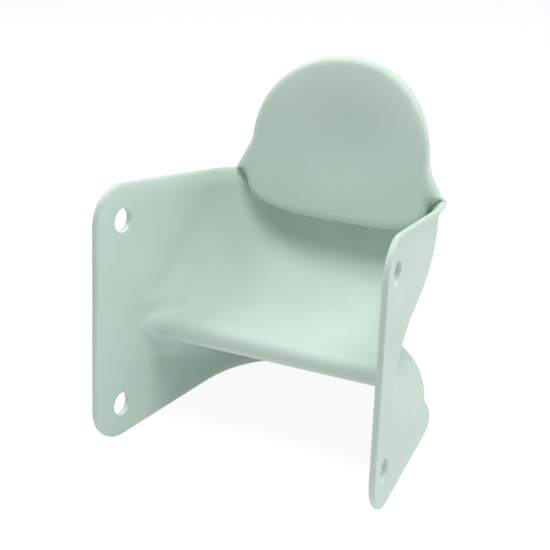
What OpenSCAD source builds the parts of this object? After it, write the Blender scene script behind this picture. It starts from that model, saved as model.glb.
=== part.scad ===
// Toddler chair: a seat shell moulded in one piece, with a backrest that lifts off its rim.
//
// The shell is one wall bent round from one side panel, behind the seat, to the other. Its upper rim
// and its lower rim are flat curves whose planes lean toward each other at the back, so the plane
// midway between them, the middle plane, slopes down to the back. The seat runs forward from the wall
// and ends in a round nose. Turned upside down, the shell stands on its other rim with a higher seat.
//
// The shell is drawn in the frame of its middle plane: x to the right, s back along the plane and
// t square to it. The backrest is drawn in the frame of the upper rim: x, w back in the rim's plane
// and v up from it. Both are then placed with the lower rim on the floor.

/* [Shell outline] */
// Height of the side panels at their front edge
front_h = 360; // [330:1:390]
// Width over the two rims at the front
front_w = 408; // [380:1:440]
// Depth of the rims along the middle plane
shell_d = 376; // [350:1:400]
// Angle between a rim's plane and the middle plane
rim_lean = 5.3; // [3.5:0.1:7]
// Angle by which each side panel closes toward the back
panel_toe = 6.8; // [4:0.1:9]
// Distance from the front at which the straight panels begin to bend round
bend_start = 225; // [190:1:250]
// Squareness of the bend round the back, where 2 is an ellipse
bend_power = 2.6; // [2.2:0.1:3.2]
// Thickness of the wall
wall_t = 9; // [8:0.5:12]
// Rounding of the wall's free edge
edge_r = 3.5; // [2:0.25:3.75]
// Rounding of the panels' corners, seen from the side
corner_r = 55; // [36:1:66]

/* [Rolled rim] */
// How far the rim rolls outward at the front
lip_front = 3.5; // [1:0.5:6]
// How far the rim rolls outward at the back
lip_rear = 12; // [7:0.5:15]
// Height over which the rim rolls outward
lip_h = 22; // [16:1:30]

/* [Waist] */
// Distance from the front at which the outer face begins to draw in
waist_start = 46; // [40:1:70]
// Distance from the front to the waist behind the seat
waist_d = 246; // [238:1:264]
// Squareness of the waist, where 2 is an ellipse
waist_power = 1.5; // [1.4:0.1:2.1]
// Fullness of the outer face near the rims
bowl_power = 2.05; // [1.7:0.05:2.4]
// Sharpness of the outer face's turn at the waist
bowl_root = 1.9; // [1.6:0.05:2.3]

/* [Seat] */
// Distance of the seat's middle below the middle plane
seat_drop = 32; // [15:1:40]
// Thickness of the seat
seat_t = 34; // [26:1:42]
// Distance from the panels' front edges to the seat's nose
seat_front = 97; // [80:1:115]
// Length over which the nose is rounded
nose_run = 20; // [12:1:30]
// Rounding of the nose's line where it meets a side panel
nose_corner = 30; // [15:1:45]
// Fillet between the seat and a side panel at the nose
fillet_front = 24; // [14:1:34]
// Length of the fillet between the seat and the wall behind it
fillet_rear = 105; // [90:1:125]

/* [Panel holes] */
// Diameter of the round hole in each corner of the side panels
hole_d = 32; // [20:1:40]
// Distance of a hole's centre from the panel's front edge and from its rim
hole_inset = 48; // [44:1:60]

/* [Backrest] */
// Radius of the backrest's round top
back_r = 131; // [115:1:140]
// Squareness of the round top, where 2 is a circle
back_top_power = 2.15; // [2:0.05:2.6]
// Height of that radius's centre above the rim
back_rise = 40; // [30:1:55]
// Depth of the part that hangs below the rim
back_down = 59; // [48:1:70]
// Squareness of the lower edge, where 2 is an ellipse
back_power = 2.9; // [2.2:0.1:3.4]
// Height of the wings that flare out to the rim
wing_h = 50; // [40:1:60]
// How sharply a wing flares, where 1 is a straight flank
wing_power = 1.5; // [1.2:0.1:2]
// How far a wing's tip curls back, toward the rim
wing_curl = 10; // [0:1:12]
// Fillet under a wing, where it meets the hanging part
wing_fillet = 13; // [8:0.5:13]
// Distance of a wing's tip inside the rim's outer edge
wing_inset = 12.5; // [10:0.5:16]
// Thickness of the backrest
back_t = 22; // [18:1:26]
// Radius to which the backrest is bent round the sitter
back_bend = 310; // [290:1:420]
// Angle by which the backrest leans forward of the square to the rim
back_lean = 3.6; // [0:0.2:5]
// Depth to which the front face is dished
back_dish = 4; // [2:0.5:6]
// Distance of the backrest's rear face from the wall behind it
back_gap = 26; // [20:1:32]
// Gap between the hanging part's sides and the side walls
side_gap = 11; // [7:0.5:14]
// Gap under the wings and the saddle, at their seats on the rim
seat_gap = 0.3; // [0.2:0.1:0.6]
// Thickness of the front moulding's wall
back_wall = 3.5; // [2.5:0.5:4.5]
// Width of the front moulding's rim round the rear cover
cover_inset = 13; // [11:0.5:16]
// Width of the ledge that the rear cover lies on
ledge_w = 4; // [3:0.5:6]
// Thickness of the rear cover
cover_t = 3; // [2.5:0.5:4]

/* [Saddle over the rear rim] */
// Width of the saddle
saddle_w = 90; // [60:1:110]
// Thickness of the saddle's plate and legs
saddle_t = 5; // [4:0.5:7]
// Depth of the leg outside the rim
outer_leg = 24; // [16:1:30]
// Depth of the leg inside the rim
inner_leg = 30; // [20:1:34]
// Clearance between the legs and the wall
saddle_gap = 1.5; // [1:0.1:2]

/* [Screws] */
// Diameter of a screw's shank
screw_d = 4; // [3:0.5:5]
// Length of a screw's shank
screw_l = 12; // [9:1:13]
// Diameter of a screw's head
head_d = 8; // [7:0.5:10]
// Height of a screw's head
head_h = 2.6; // [2:0.2:3]
// Depth to which the heads are sunk in the rear cover
head_sink = 1.2; // [1:0.1:1.6]
// Clearance round a shank and round a head
screw_gap = 0.2; // [0.1:0.05:0.4]
// Diameter of the boss that a screw goes into
boss_d = 10; // [9:0.5:13]
// Distance of the screws from the middle
screw_x = 74; // [65:1:80]
// Height of the lower screws below the rim
screw_low = 22; // [16:1:26]
// Height of the upper screws above the rim
screw_high = 100; // [90:1:106]

/* [Hidden] */
sage = [0.74, 0.82, 0.76];
sage_dark = [0.66, 0.75, 0.69];
steel = [0.72, 0.74, 0.76];
$fn = 64;

half_h = front_h / 2;
half_w = front_w / 2;
seat_mid = -seat_drop;
seat_half = seat_t / 2;
splay = tan(panel_toe);
mid_h = half_h * cos(rim_lean);
lip_hold = 115;         // length before the back over which the rear fillet is already whole
fan_s = 120;            // place on the middle line that the waist's stations are turned about
path_pull = 0.45;       // how far a tongue path's handles reach along its chord
groove_gather = 1.6;    // how closely the rows gather at the waist
edge_steps = 3;
corner_steps = 4;
side_steps = 7;
bend_steps = 15;
lip_steps = 3;
face_steps = 11;
nose_steps = 4;
path_steps = 20;
quarter_steps = 12;

// Plain helpers

function smooth(u) =
    let (c = min(max(u, 0), 1))
    c * c * (3 - 2 * c);

function share(value, low, high) =
    min(max((value - low) / (high - low), 0), 1);

function run_lengths(points) =
    [for (i = 0, sum = 0; i < len(points);
          i = i + 1, sum = sum + (i < len(points) ? norm(points[i] - points[i - 1]) : 0)) sum];

function table(keys, values) =
    [for (i = [0 : len(keys) - 1]) [keys[i], values[i]]];

function column(rows, c) =
    [for (row = rows) row[c]];

function flatten(lists) =
    [for (list = lists) each list];

// Plan curves of the shell, in x and s, from the front to the middle of the back

function side_x(s) =
    half_w - splay * s;

function plan_point(start, depth, power, psi) =
    let (a = side_x(start),
         b = depth - start,
         r = pow(pow(cos(psi) / a, power) + pow(sin(psi) / b, power), -1 / power),
         s = start + r * sin(psi))
    [r * cos(psi) * side_x(s) / a, s];

rim_s = concat(
    [for (i = [0 : edge_steps]) edge_r * (1 - cos(90 * i / edge_steps))],
    [for (i = [1 : corner_steps]) edge_r + (corner_r - edge_r) * i / corner_steps],
    [for (i = [1 : side_steps]) corner_r + (bend_start - corner_r) * i / side_steps]);
rim = concat(
    [for (s = rim_s) [side_x(s), s]],
    [for (i = [1 : bend_steps]) plan_point(bend_start, shell_d, bend_power, 90 * i / bend_steps)]);
last = len(rim) - 1;

function plan_normal(k) =
    let (d = rim[k + 1] - rim[max(k - 1, 0)])
    [d[1], -d[0]] / norm(d);

rim_normal = [for (k = [0 : last]) k == last ? [0, 1] : plan_normal(k)];
lip = [for (p = rim) lip_front + (lip_rear - lip_front) * smooth(p[1] / shell_d)];
outer_foot = [for (k = [0 : last]) rim[k] - lip[k] * rim_normal[k]];
inner_foot = [for (k = [0 : last]) outer_foot[k] - wall_t * rim_normal[k]];

waist_angle = atan2(waist_start - fan_s, side_x(waist_start));

function waist_point(k) =
    let (angle = atan2(rim[k][1] - fan_s, rim[k][0]),
         psi = 90 * share(angle, waist_angle, 90),
         p = plan_point(waist_start, waist_d, waist_power, psi))
    rim[k][1] <= waist_start ? outer_foot[k] : [min(p[0], outer_foot[k][0]), p[1]];

waist = [for (k = [0 : last]) waist_point(k)];

// The nose's line in plan: on the panel, then a quarter round, then straight to the middle

nose_s = seat_front - nose_corner;
nose_x = lookup(nose_s, table(column(inner_foot, 1), column(inner_foot, 0)));
nose_arc = nose_corner * PI / 2;
rim_length = run_lengths(rim);
nose_length = lookup(nose_s, table(column(rim, 1), rim_length));

function nose_turn(k) =
    let (run = share(rim_length[k], nose_length, rim_length[last]) * (nose_arc + nose_x - nose_corner))
    [min(run / nose_arc, 1) * 90, max(run - nose_arc, 0)];

function nose_point(k) =
    let (turn = nose_turn(k))
    rim_length[k] <= nose_length
        ? inner_foot[k]
        : [nose_x - nose_corner * (1 - cos(turn[0])) - turn[1], nose_s + nose_corner * sin(turn[0])];

// The path from the wall to the nose, for each station: a curve square to both

function path_ends(k) =
    let (a = inner_foot[k],
         b = nose_point(k),
         pull = path_pull * norm(b - a),
         turn = nose_turn(k)[0])
    [a, a - pull * rim_normal[k], b + pull * [cos(turn), sin(turn)], b];

function curve(ends, u) =
    pow(1 - u, 3) * ends[0] + 3 * pow(1 - u, 2) * u * ends[1]
        + 3 * (1 - u) * u * u * ends[2] + pow(u, 3) * ends[3];

path = [for (k = [0 : last]) path_ends(k)];
path_table = [for (k = [0 : last])
    let (at = [for (i = [0 : path_steps]) i / path_steps])
    table(run_lengths([for (u = at) curve(path[k], u)]), at)];
path_length = [for (t = path_table) t[path_steps][0]];

// Sections of the shell. Each half, upper (side 1) and lower (side -1), is measured from the seat's
// middle: e is the distance below the rim and h the distance from the seat's middle.

function half_height(k, side) =
    half_h - rim[k][1] * tan(rim_lean) - side * seat_mid;

function rear_share(k) =
    smooth(share(rim[k][1], seat_front, shell_d - lip_hold));

rim_rows = concat(
    [for (i = [0 : edge_steps]) edge_r * (1 - cos(90 * i / edge_steps))],
    [for (i = [1 : lip_steps]) edge_r + (lip_h - edge_r) * i / lip_steps]);

// Inner profile below the lip, as distances along the path and heights over the seat's middle
function inner_profile(k, side) =
    let (height = half_height(k, side),
         grow = rear_share(k),
         rise = fillet_front + (height - seat_half - lip_h - fillet_front) * grow,
         run = fillet_front + (fillet_rear - fillet_front) * grow,
         fit = min(1, path_length[k] / (run + nose_run)),
         nose = nose_run * fit,
         raw = concat(
             [[0, height - lip_h]],
             [for (i = [0 : quarter_steps]) let (q = 90 * i / quarter_steps)
                 [run * fit * (1 - cos(q)), seat_half + rise * (1 - sin(q))]],
             [[path_length[k] - nose, seat_half]]),
         lengths = run_lengths(raw),
         total = lengths[len(raw) - 1])
    concat(
        [for (i = [1 : face_steps]) let (at = total * i / face_steps)
            [lookup(at, table(lengths, column(raw, 0))), lookup(at, table(lengths, column(raw, 1)))]],
        [for (i = [1 : nose_steps]) let (q = 90 * i / nose_steps)
            [path_length[k] - nose + nose * sin(q), seat_half * cos(q)]]);

// A point of the panel's net moved to its place at the rounded corner: s, e and distance to the edge
function corner_place(s, e) =
    let (a = 1 - s / corner_r,
         b = 1 - e / corner_r,
         p = a * sqrt(max(1 - b * b / 2, 0)),
         q = b * sqrt(max(1 - a * a / 2, 0)))
    a > 0 && b > 0
        ? [corner_r * (1 - p), corner_r * (1 - q), corner_r * (1 - norm([p, q]))]
        : [s, e, min(s, e)];

// face is 1 on the outside and -1 on the inside of the wall. level keeps the rim in its plane.
function net_point(k, side, face, foot, e) =
    let (place = corner_place(rim[k][1], e),
         roll = lip[k] * pow(max(1 - place[2] / lip_h, 0), 2),
         short = edge_r - min(place[2], edge_r),
         sink = edge_r - sqrt(max(pow(edge_r, 2) - pow(short, 2), 0)),
         shift = place[0] - rim[k][1],
         plan = foot + (roll - face * sink) * rim_normal[k] + shift * [-splay, 1],
         level = (rim[k][1] - plan[1]) * tan(rim_lean) * max(1 - e / corner_r, 0))
    [plan[0], plan[1], side * (half_height(k, side) + level - place[1]) + seat_mid];

function inner_half(k, side) =
    let (height = half_height(k, side))
    concat(
        [for (e = rim_rows) net_point(k, side, -1, inner_foot[k], e)],
        [for (p = inner_profile(k, side))
            net_point(k, side, -1, curve(path[k], lookup(p[0], path_table[k])), height - p[1])]);

function outer_half(k, side) =
    let (height = half_height(k, side),
         count = face_steps + nose_steps)
    concat(
        [for (e = rim_rows) net_point(k, side, 1, outer_foot[k], e)],
        [for (i = [1 : count])
            let (tau = pow(1 - i / count, groove_gather),
                 bulge = pow(1 - pow(1 - tau, bowl_power), 1 / bowl_root),
                 foot = waist[k] + bulge * (outer_foot[k] - waist[k]))
            net_point(k, side, 1, foot, height - tau * (height - lip_h))]);

function joined(upper, lower) =
    concat(upper, [for (i = [len(lower) - 2 : -1 : 0]) lower[i]]);

inner_right = [for (k = [0 : last]) joined(inner_half(k, 1), inner_half(k, -1))];
outer_right = [for (k = [0 : last]) joined(outer_half(k, 1), outer_half(k, -1))];

// Both sides of the shell, from the right front edge round the back to the left front edge
function mirrored(columns) =
    concat(columns, [for (k = [last - 1 : -1 : 0]) [for (p = columns[k]) [-p[0], p[1], p[2]]]]);

columns = 2 * last + 1;
rows = len(inner_right[0]);

function net_index(net, c, r) =
    (net * columns + c) * rows + r;

function net_faces(net) =
    [for (c = [0 : columns - 2], r = [0 : rows - 2])
        let (a = net_index(net, c, r),
             b = net_index(net, c + 1, r),
             d = net_index(net, c, r + 1),
             e = net_index(net, c + 1, r + 1))
        each net == 0 ? [[a, b, e], [a, e, d]] : [[a, e, b], [a, d, e]]];

net_edge = concat(
    [for (c = [0 : columns - 1]) [c, 0]],
    [for (r = [1 : rows - 1]) [columns - 1, r]],
    [for (c = [columns - 2 : -1 : 0]) [c, rows - 1]],
    [for (r = [rows - 2 : -1 : 0]) [0, r]]);

edge_faces = [for (i = [0 : len(net_edge) - 2])
    let (a = net_index(0, net_edge[i][0], net_edge[i][1]),
         b = net_index(0, net_edge[i + 1][0], net_edge[i + 1][1]),
         d = net_index(1, net_edge[i][0], net_edge[i][1]),
         e = net_index(1, net_edge[i + 1][0], net_edge[i + 1][1]))
    each [[a, e, b], [a, d, e]]];

// Places in the upper rim's frame

rim_back_w = shell_d / cos(rim_lean) - half_h * sin(rim_lean);
wall_inner_w = rim_back_w - lip_rear - wall_t;
back_w = wall_inner_w - back_gap - back_t / 2;

function rim_x(s) =
    side_x(s) * pow(1 - pow(share(s, bend_start, shell_d), bend_power), 1 / bend_power);

function plain_w(x, v) =
    back_w - x * x / (2 * back_bend) - v * tan(back_lean);

// The x at which the backrest's middle surface crosses the rim's outer edge, found by repeating
function cross_x(x, turns) =
    turns == 0 ? x : cross_x(rim_x((plain_w(x, 0) + half_h * sin(rim_lean)) * cos(rim_lean)), turns - 1);

cross_turns = 8;
tip_x = cross_x(half_w, cross_turns) - wing_inset;
cross_s = (plain_w(tip_x + wing_inset, 0) + half_h * sin(rim_lean)) * cos(rim_lean);
cross_lip = lip_front + (lip_rear - lip_front) * smooth(cross_s / shell_d);
cross_slope = (rim_x(cross_s - 1) - rim_x(cross_s + 1)) / 2;
hang_x = tip_x + wing_inset - (cross_lip + wall_t + side_gap) * norm([1, cross_slope]);

// The middle surface: bent round the sitter, leaned forward, and curled back toward the wings' tips
function bent_w(x, v) =
    plain_w(x, v) + wing_curl * smooth(share(abs(x), hang_x, tip_x)) * smooth(share(v, -wing_fillet, 0));

// Half outline of the backrest in x and v, from the top round a wing to the lowest point

dome_steps = 12;
wing_steps = 6;
fillet_steps = 3;
hang_steps = 12;
tip_round = 4;
chamfer = 1;
tip_cut = 1.5;
fillet_clear = 2;
oval_share = 0.92;
dish_rim = 18;
dish_v = 55;
dome_end = asin(pow((wing_h - back_rise) / back_r, back_top_power / 2));
dome_foot = back_r * pow(1 - pow(back_rise / back_r, back_top_power), 1 / back_top_power);

function dome_x(v) =
    back_r * pow(1 - pow(abs(v - back_rise) / back_r, back_top_power), 1 / back_top_power);

function wing_x(v) =
    dome_x(v) + (tip_x - dome_foot) * pow(1 - v / wing_h, wing_power);

function hang_point(q) =
    [hang_x * pow(cos(q), 2 / back_power), -back_down * pow(sin(q), 2 / back_power)];

back_outline = concat(
    [for (i = [0 : dome_steps]) let (a = 90 + (dome_end - 90) * i / dome_steps)
        [back_r * pow(cos(a), 2 / back_top_power), back_rise + back_r * pow(sin(a), 2 / back_top_power)]],
    [for (i = [1 : wing_steps]) let (v = wing_h + (tip_round - wing_h) * i / wing_steps) [wing_x(v), v]],
    [[tip_x - tip_cut, seat_gap + tip_cut], [tip_x - 2 * tip_cut, seat_gap]],
    [for (i = [0 : fillet_steps]) let (a = 90 * i / fillet_steps)
        [hang_x + wing_fillet * (1 - sin(a)), seat_gap - wing_fillet * (1 - cos(a))]],
    [for (i = [1 : hang_steps]) let (p = hang_point(90 * i / hang_steps)) if (p[1] < -wing_fillet - fillet_clear) p]);
back_centre = [0, 30];
outline_count = 2 * len(back_outline) - 2;
outline_points = concat(
    back_outline,
    [for (i = [len(back_outline) - 2 : -1 : 1]) [-back_outline[i][0], back_outline[i][1]]]);

// Distance from the centre to a plain oval inside the outline, along a direction
function oval_reach(way) =
    oval_share / norm([way[0] / back_r,
                       way[1] / (way[1] > 0 ? back_r + back_rise - back_centre[1] : back_down + back_centre[1])]);

// The front face's hollow at a place, none outside an oval about its middle
function dish(x, v) =
    let (r = norm([x / (back_r - dish_rim), (v - dish_v) / (back_r / 2 + back_down / 2)]))
    back_dish * smooth(1 - r);

// A ring inside the outline: inset is measured toward the centre, part is the share of what is left,
// and hollow is 1 where the ring follows the dished face
function back_ring(inset, part, depth, hollow) =
    [for (p = outline_points)
        let (arm = p - back_centre,
             way = arm / norm(arm),
             edge = norm(arm) - inset,
             reach = edge + (min(oval_reach(way), edge) - edge) * smooth(part * 2),
             q = back_centre + way * reach * (1 - part))
        [q[0], bent_w(q[0], q[1]) + depth + hollow * dish(q[0], q[1]), q[1]]];

function back_pole(depth, hollow) =
    [[back_centre[0], bent_w(0, back_centre[1]) + depth + hollow * dish(0, back_centre[1]), back_centre[1]]];

module rings_solid(front_pole, rings, rear_pole) {
    count = outline_count;
    top = len(rings);
    points = concat(front_pole, flatten(rings), rear_pole);
    last_point = len(points) - 1;
    fans = [for (i = [0 : count - 1]) let (j = (i + 1) % count)
        each [[0, 1 + i, 1 + j], [last_point, last_point - count + j, last_point - count + i]]];
    bands = [for (r = [0 : top - 2], i = [0 : count - 1])
        let (j = (i + 1) % count,
             a = 1 + r * count + i,
             b = 1 + r * count + j,
             c = a + count,
             d = b + count)
        each [[a, d, b], [a, c, d]]];
    polyhedron(points, concat(fans, bands));
}

face_rows = 7;
edge_rows = 4;
floor_rows = 5;
band_flat = 3;          // flat width of the moulding's rear band, beside the cover
overrun = 1;            // how far a cut runs past the body it cuts
half_t = back_t / 2;
edge_run = cover_inset - band_flat;
ledge_depth = half_t - cover_t - seat_gap;

// Placement

saddle_outer_w = rim_back_w + saddle_gap;
front_y = min([for (net = outer_right) each [for (p = net) p[1] * cos(rim_lean) + p[2] * sin(rim_lean)]]);
back_y = (saddle_outer_w + saddle_t) * cos(2 * rim_lean) + (seat_gap + saddle_t + mid_h) * sin(2 * rim_lean);
middle_y = (front_y + back_y) / 2;

module from_middle_plane() {
    translate([0, -middle_y, mid_h])
        rotate([-rim_lean, 0, 0])
            children();
}

module from_upper_rim() {
    translate([0, mid_h * sin(2 * rim_lean) - middle_y, mid_h * (1 + cos(2 * rim_lean))])
        rotate([-2 * rim_lean, 0, 0])
            children();
}

// Seat shell

hole_lip = lip_front + (lip_rear - lip_front) * smooth(hole_inset / shell_d);
hole_centre = [side_x(hole_inset), hole_inset]
    - (hole_lip + wall_t / 2) * [cos(panel_toe), sin(panel_toe)];
hole_t = half_h - hole_inset * tan(rim_lean) - hole_inset;
cut_l = 4 * wall_t;

module panel_hole(side, level) {
    mirror([side < 0 ? 1 : 0, 0, 0])
        translate([hole_centre[0], hole_centre[1], level * hole_t])
            rotate([0, 90, panel_toe])
                cylinder(d = hole_d, h = cut_l, center = true);
}

module shell() {
    color(sage)
        from_middle_plane()
            difference() {
                polyhedron(
                    concat(flatten(mirrored(outer_right)), flatten(mirrored(inner_right))),
                    concat(net_faces(0), net_faces(1), edge_faces));
                for (side = [-1, 1], level = [-1, 1])
                    panel_hole(side, level);
            }
}

// Backrest

screw_places = [for (side = [-1, 1], v = [-screw_low, screw_high]) [side * screw_x, v]];
boss_slope = boss_d / 2 * screw_x / back_bend;

function screw_w(place) =
    bent_w(place[0], place[1]);

function head_seat(place) =
    screw_w(place) + half_t - head_sink;

function boss_top(place) =
    screw_w(place) + ledge_depth - boss_slope;

function boss_foot(place) =
    screw_w(place) - half_t + dish(place[0], place[1]) + back_wall / 2;

// A cylinder along w, from one depth to another
module rod(place, from, to, d) {
    translate([place[0], to, place[1]])
        rotate([90, 0, 0])
            cylinder(d = d, h = to - from);
}

module backrest_front() {
    ledge_inset = cover_inset + ledge_w;
    color(sage)
        from_upper_rim()
            difference() {
                union() {
                    rings_solid(
                        back_pole(-half_t, 1),
                        concat(
                            [for (i = [face_rows - 1 : -1 : 1])
                                back_ring(edge_run, i / face_rows, -half_t, 1)],
                            [for (i = [edge_rows : -1 : -edge_rows]) let (q = 90 * i / edge_rows)
                                back_ring(edge_run * (1 - cos(q)), 0, -half_t * sin(q), 0)],
                            [back_ring(cover_inset, 0, half_t, 0),
                             back_ring(cover_inset, 0, ledge_depth, 0),
                             back_ring(ledge_inset, 0, ledge_depth, 0)],
                            [for (i = [0 : floor_rows - 1])
                                back_ring(ledge_inset, i / floor_rows, back_wall - half_t, 1)]),
                        back_pole(back_wall - half_t, 1));
                    for (place = screw_places)
                        rod(place, boss_foot(place), boss_top(place), boss_d);
                }
                for (place = screw_places)
                    rod(place, head_seat(place) - screw_l - overrun, boss_top(place) + overrun,
                        screw_d + 2 * screw_gap);
            }
}

flange_h = 30;          // height of the saddle's flange on the cover
saddle_root_w = bent_w(saddle_w / 2, flange_h) + half_t - cover_t / 2;
saddle_floor = seat_gap;
saddle_roof = seat_gap + saddle_t;
outer_face_w = saddle_outer_w + saddle_t;
inner_leg_w = wall_inner_w - (rim_back_w - rim_w_at(saddle_w / 2)) - saddle_gap;

// The rim's outer edge at a distance x from the middle, in the rim's frame
function rim_w_at(x) =
    let (s = bend_start + (shell_d - bend_start)
             * pow(1 - pow(x / side_x(shell_d), bend_power), 1 / bend_power))
    s / cos(rim_lean) - half_h * sin(rim_lean);

// Section of the saddle in w and v: a flange on the cover, a plate over the rim and a leg on each side
module saddle_section() {
    polygon([
        [saddle_root_w, -saddle_t],
        [inner_leg_w - saddle_t, saddle_floor - saddle_t],
        [inner_leg_w - saddle_t, -inner_leg],
        [inner_leg_w, -inner_leg],
        [inner_leg_w, saddle_floor],
        [saddle_outer_w, saddle_floor],
        [saddle_outer_w, -outer_leg],
        [outer_face_w, -outer_leg],
        [outer_face_w, saddle_roof - chamfer],
        [outer_face_w - chamfer, saddle_roof],
        [saddle_root_w + 2 * saddle_t, saddle_roof],
        [saddle_root_w + saddle_t, flange_h],
        [saddle_root_w, flange_h],
    ]);
}

module backrest_cover() {
    inset = cover_inset + seat_gap;
    color(sage_dark)
        from_upper_rim()
            difference() {
                union() {
                    rings_solid(
                        back_pole(half_t - cover_t, 0),
                        concat(
                            [for (i = [floor_rows - 1 : -1 : 0])
                                back_ring(inset, i / floor_rows, half_t - cover_t, 0)],
                            [for (i = [0 : floor_rows - 1])
                                back_ring(inset, i / floor_rows, half_t, 0)]),
                        back_pole(half_t, 0));
                    rotate([90, 0, 90])
                        linear_extrude(height = saddle_w, center = true)
                            saddle_section();
                }
                for (place = screw_places) {
                    rod(place, head_seat(place) - cover_t, head_seat(place) + overrun, screw_d + 2 * screw_gap);
                    rod(place, head_seat(place), head_seat(place) + head_h + overrun, head_d + 2 * screw_gap);
                }
            }
}

module backrest_screws() {
    color(steel)
        from_upper_rim()
            for (place = screw_places)
                union() {
                    rod(place, head_seat(place) - screw_l, head_seat(place), screw_d);
                    rod(place, head_seat(place), head_seat(place) + head_h, head_d);
                }
}

shell();
backrest_front();
backrest_cover();
backrest_screws();
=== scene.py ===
import math
import bmesh
import bpy
import numpy as np
from mathutils import Matrix


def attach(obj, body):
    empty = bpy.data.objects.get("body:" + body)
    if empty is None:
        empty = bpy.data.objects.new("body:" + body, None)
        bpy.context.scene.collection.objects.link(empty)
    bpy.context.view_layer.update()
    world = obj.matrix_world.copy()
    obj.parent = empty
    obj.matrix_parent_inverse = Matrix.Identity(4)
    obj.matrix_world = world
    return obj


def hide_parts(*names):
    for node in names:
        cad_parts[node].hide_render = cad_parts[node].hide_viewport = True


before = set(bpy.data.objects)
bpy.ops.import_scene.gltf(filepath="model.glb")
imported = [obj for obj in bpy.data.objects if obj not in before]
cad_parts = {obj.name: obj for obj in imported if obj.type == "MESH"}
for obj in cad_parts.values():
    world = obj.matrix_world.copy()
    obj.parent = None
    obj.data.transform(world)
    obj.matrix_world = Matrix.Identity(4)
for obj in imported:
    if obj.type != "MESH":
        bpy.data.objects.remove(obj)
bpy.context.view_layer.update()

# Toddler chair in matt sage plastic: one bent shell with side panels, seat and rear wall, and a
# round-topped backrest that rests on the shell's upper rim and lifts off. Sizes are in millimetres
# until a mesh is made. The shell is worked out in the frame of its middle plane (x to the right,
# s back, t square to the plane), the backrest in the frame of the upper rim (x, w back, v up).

# Shell outline
HALF_H = 180.0            # half a panel's height at the front, square to the middle plane
HALF_W = 204.0
SHELL_D = 376.0
LEAN = math.radians(5.3)  # each rim's plane against the middle plane
TOE = math.radians(6.8)   # each panel, closing toward the back
SPLAY = math.tan(TOE)
BEND_START, BEND_POWER = 225.0, 2.6
MIDDLE_Y = 191.483        # from the middle of the front edges to the middle of the footprint
MID_H = HALF_H * math.cos(LEAN)

# Wall, rims and panel corners
WALL_T = 9.0
EDGE_R = 3.5
CORNER_R = 55.0
LIP_FRONT, LIP_REAR, LIP_H = 3.5, 12.0, 22.0
HOLE_R, HOLE_INSET, HOLE_EDGE = 16.0, 48.0, 0.8
HOLE_BLOCK_S, HOLE_BLOCK_E = (26.0, 71.8), (25.4, 72.6)   # part of the net that a hole's rings replace

# Outer face, drawn in to its waist
WAIST_START, WAIST_D, WAIST_POWER = 46.0, 246.0, 1.5
WAIST_MEET, WAIST_EASE = 6.0, 30.0
FAN_S = 120.0             # centre of the fan that shares the waist out to the stations
BOWL_POWER, BOWL_ROOT = 2.05, 1.9
GATHER_POWER, GATHER_FROM = 1.6, 60.0

# Seat
SEAT_MID = -32.0          # middle of the seat's thickness, from the middle plane
SEAT_HALF = 17.0
SEAT_FRONT, NOSE_RUN, NOSE_CORNER = 97.0, 20.0, 23.0
FILLET_FRONT, FILLET_REAR = 34.0, 105.0
LIP_HOLD = 115.0          # the fillet has its rear size this far before the back
PATH_PULL = 0.45

# Backrest's outline and bend: x from its middle, w back and v up from the upper rim's plane
BACK_R, BACK_TOP_POWER, BACK_RISE = 131.0, 2.15, 40.0
BACK_DOWN, BACK_POWER = 59.0, 2.9
WING_H, WING_POWER, WING_FILLET, WING_CURL = 50.0, 1.5, 13.0, 10.0
TIP_X, HANG_X = 155.58, 136.277
BACK_W, BACK_BEND, BACK_LEAN = 302.988, 310.0, math.radians(3.6)
BACK_DISH, DISH_RIM, DISH_V = 7.0, 18.0, 55.0
BACK_CENTRE = np.array([0.0, 30.0])

# Backrest's thickness, hollow and cover
HALF_T = 11.0
EDGE_RUN = 10.0
SEAT_GAP, BACK_WALL, COVER_INSET, LEDGE_W, COVER_T = 0.3, 3.5, 13.0, 4.0, 3.0
LEDGE_DEPTH = HALF_T - COVER_T - SEAT_GAP
REAR_ROUND = 0.7          # the rear band ends this far outside the cover's recess
OVAL_SHARE = 0.92

# Saddle over the rear rim, its depths w in the same frame
SADDLE_HALF_W, SADDLE_T, OUTER_LEG, INNER_LEG, SADDLE_GAP = 45.0, 5.0, 24.0, 30.0, 1.5
SADDLE_ROOT_W, INNER_LEG_W, RIM_BACK_W, FLANGE_H = 307.334, 336.277, 360.988, 30.0
SADDLE_ROUND, SADDLE_END, SADDLE_EVEN = 2.3, 1.2, 40.0

# Screws and their bosses
SCREW_R, SCREW_L, HEAD_R, HEAD_H, HEAD_SINK = 2.0, 12.0, 4.0, 2.6, 1.2
CROWN_R, CROWN_DROP = 3.2, 0.16
CROSS_HALF_T, CROSS_REACH, CROSS_DEPTH = 0.75, 2.25, 1.3
THREAD_PITCH, THREAD_DEPTH, POINT_START, POINT_END, POINT_R = 1.4, 0.45, 10.5, 12.2, 0.15
BOSS_R, PILOT_R = 5.0, 2.2
SCREW_PLACES = [(x, v) for x in (-74.0, 74.0) for v in (-22.0, 100.0)]


# Plain helpers

def smooth(u):
    """Ease from 0 to 1: 3u^2 - 2u^3 on u held between 0 and 1."""
    u = np.clip(u, 0, 1)
    return u * u * (3 - 2 * u)


def share(value, low, high):
    """How far value has gone from low to high, held between 0 and 1."""
    return np.clip((value - low) / (high - low), 0, 1)


def run_lengths(points):
    """Length along a line of points, on the next-to-last axis, from its first point."""
    steps = np.linalg.norm(np.diff(points, axis=-2), axis=-1)
    return np.concatenate([np.zeros(steps.shape[:-1] + (1,)), np.cumsum(steps, axis=-1)], axis=-1)


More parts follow.
